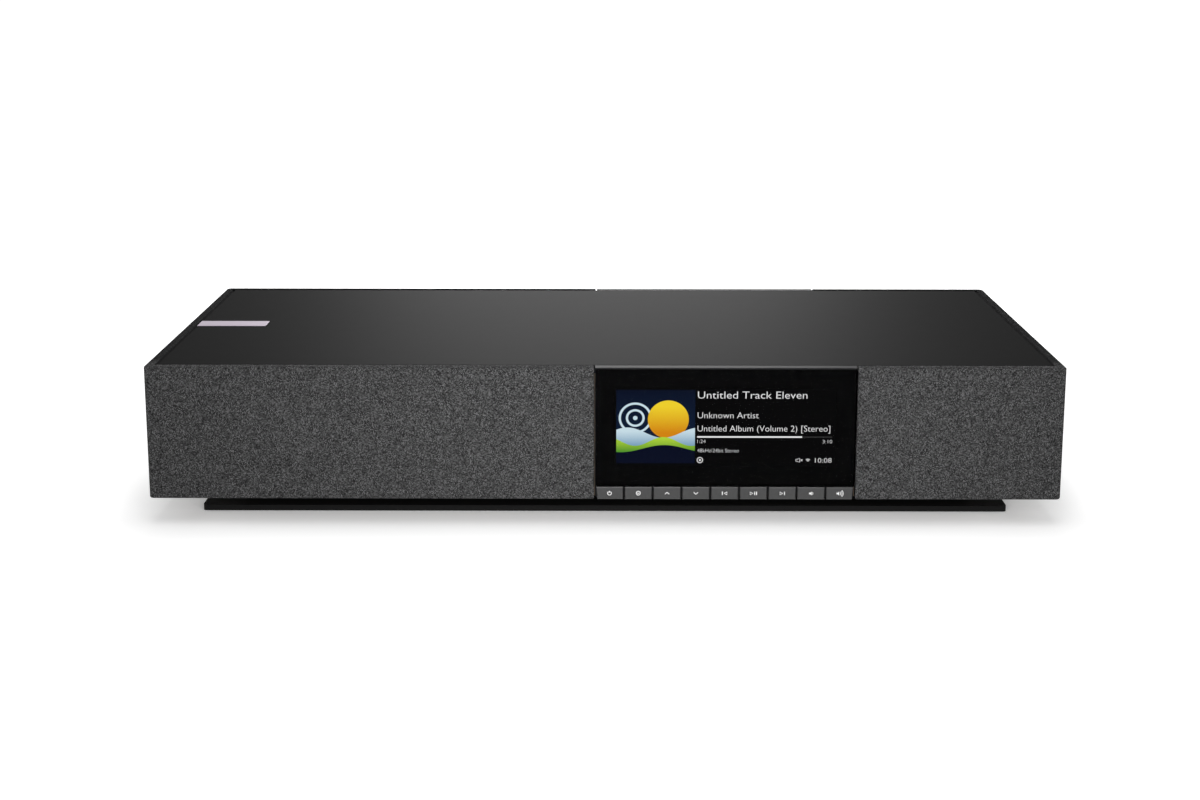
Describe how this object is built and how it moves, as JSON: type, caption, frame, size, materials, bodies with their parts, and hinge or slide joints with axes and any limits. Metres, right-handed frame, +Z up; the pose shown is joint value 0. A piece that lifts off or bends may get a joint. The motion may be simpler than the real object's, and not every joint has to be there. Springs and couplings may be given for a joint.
{
  "type": "wireless speaker",
  "caption": "Low wide one-box wireless speaker with cloth-wrapped sides, satin lid, front screen over a row of push keys, rear connector bay and set-back plinth.",
  "frame": {"origin": "on the surface the speaker stands on, under the middle of its cabinet", "axes": "+X to the listener's right, +Y from the front to the back, +Z up"},
  "size_m": [0.685, 0.291, 0.1232],
  "materials": {
    "board": "raw fibreboard, dark",
    "lid": "satin black",
    "strip": "satin, pale rose silver",
    "strip_alloy": "bare",
    "black_moulding": "fine satin",
    "screen_glass": "dark tinted, polished",
    "screen": "dark panel",
    "plain_steel": "plain",
    "black_steel": "satin black",
    "circuit_board": "green solder mask",
    "switch_plastic": "black",
    "foot_rubber": "matt black",
    "magnet": "dark grey",
    "cone": "matt black",
    "dome": "coated cloth",
    "plated": "bright plated",
    "flat_cable": "white film",
    "heather_cloth": "dark grey heather weave",
    "key_grey": "dark grey satin"
  },
  "bodies": {
    "cabinet": {"cabinet_floor": "board", "baffles": "board", "rear_boards": "board", "end_boards": "board", "dividers": "board", "top_panel": "lid", "accent_strip": "strip", "display_housing": "black_moulding", "cover_glass": "screen_glass", "lcd_module": "screen", "lcd_backplate": "plain_steel", "key_board": "circuit_board", "key_switches": "switch_plastic", "plinth_plate": "black_steel", "plinth_riser": "board", "plinth_screws": "plain_steel", "feet": "foot_rubber", "woofer_baskets": "black_steel", "woofer_magnets": "magnet", "woofer_surrounds": "foot_rubber", "tweeter_plates": "cone", "tweeter_magnets": "magnet", "rear_housing": "black_moulding", "rear_screws": "black_steel", "connector_plate": "black_steel", "audio_jacks": "plated", "video_socket": "plain_steel", "service_socket": "plain_steel", "network_socket": "plain_steel", "optical_socket": "black_moulding", "mains_inlet": "black_moulding", "mains_pins": "plated", "ground_post": "plated", "main_board": "circuit_board", "amplifier_board": "circuit_board", "power_supply_board": "circuit_board", "standoffs": "switch_plastic", "heat_sink": "strip_alloy", "transformer": "magnet", "antennas": "circuit_board", "display_cable": "flat_cable", "grille_frame_left": "black_moulding", "grille_frame_right": "black_moulding", "grille_cloth_left": "heather_cloth", "grille_cloth_right": "heather_cloth"},
    "button_power": {"button_power": "key_grey"},
    "button_source": {"button_source": "key_grey"},
    "button_up": {"button_up": "key_grey"},
    "button_down": {"button_down": "key_grey"},
    "button_previous": {"button_previous": "key_grey"},
    "button_play_pause": {"button_play_pause": "key_grey"},
    "button_next": {"button_next": "key_grey"},
    "button_volume_down": {"button_volume_down": "key_grey"},
    "button_volume_up": {"button_volume_up": "key_grey"},
    "optical_flap": {"optical_flap": "black_moulding"},
    "ground_nut": {"ground_nut": "plated"},
    "woofer_cones": {"woofer_cones": "cone"},
    "tweeter_domes": {"tweeter_domes": "dome"}
  },
  "joints": [
    {"name": "button_power_press", "type": "slide", "parent": "cabinet", "child": "button_power", "axis": [0, 1, 0], "range_m": [0, 0.0008], "stiffness_N_per_m": 1200},
    {"name": "button_source_press", "type": "slide", "parent": "cabinet", "child": "button_source", "axis": [0, 1, 0], "range_m": [0, 0.0008], "stiffness_N_per_m": 1200},
    {"name": "button_up_press", "type": "slide", "parent": "cabinet", "child": "button_up", "axis": [0, 1, 0], "range_m": [0, 0.0008], "stiffness_N_per_m": 1200},
    {"name": "button_down_press", "type": "slide", "parent": "cabinet", "child": "button_down", "axis": [0, 1, 0], "range_m": [0, 0.0008], "stiffness_N_per_m": 1200},
    {"name": "button_previous_press", "type": "slide", "parent": "cabinet", "child": "button_previous", "axis": [0, 1, 0], "range_m": [0, 0.0008], "stiffness_N_per_m": 1200},
    {"name": "button_play_pause_press", "type": "slide", "parent": "cabinet", "child": "button_play_pause", "axis": [0, 1, 0], "range_m": [0, 0.0008], "stiffness_N_per_m": 1200},
    {"name": "button_next_press", "type": "slide", "parent": "cabinet", "child": "button_next", "axis": [0, 1, 0], "range_m": [0, 0.0008], "stiffness_N_per_m": 1200},
    {"name": "button_volume_down_press", "type": "slide", "parent": "cabinet", "child": "button_volume_down", "axis": [0, 1, 0], "range_m": [0, 0.0008], "stiffness_N_per_m": 1200},
    {"name": "button_volume_up_press", "type": "slide", "parent": "cabinet", "child": "button_volume_up", "axis": [0, 1, 0], "range_m": [0, 0.0008], "stiffness_N_per_m": 1200},
    {"name": "optical_flap_swing", "type": "hinge", "parent": "cabinet", "child": "optical_flap", "pos_m": [0.12, 0.1267, 0.0748], "axis": [1, 0, 0], "range_deg": [-80, 0], "stiffness_Nm_per_rad": 0.0005},
    {"name": "ground_nut_turn", "type": "hinge", "parent": "cabinet", "child": "ground_nut", "pos_m": [0.162, 0.1315, 0.07225], "axis": [0, 1, 0], "range_deg": [0, 720]},
    {"name": "woofer_cones_stroke", "type": "slide", "parent": "cabinet", "child": "woofer_cones", "axis": [0, 1, 0], "range_m": [-0.003, 0.003], "stiffness_N_per_m": 2500},
    {"name": "tweeter_domes_stroke", "type": "slide", "parent": "cabinet", "child": "tweeter_domes", "axis": [0, 1, 0], "range_m": [-0.0003, 0.0003], "stiffness_N_per_m": 2000}
  ]
}
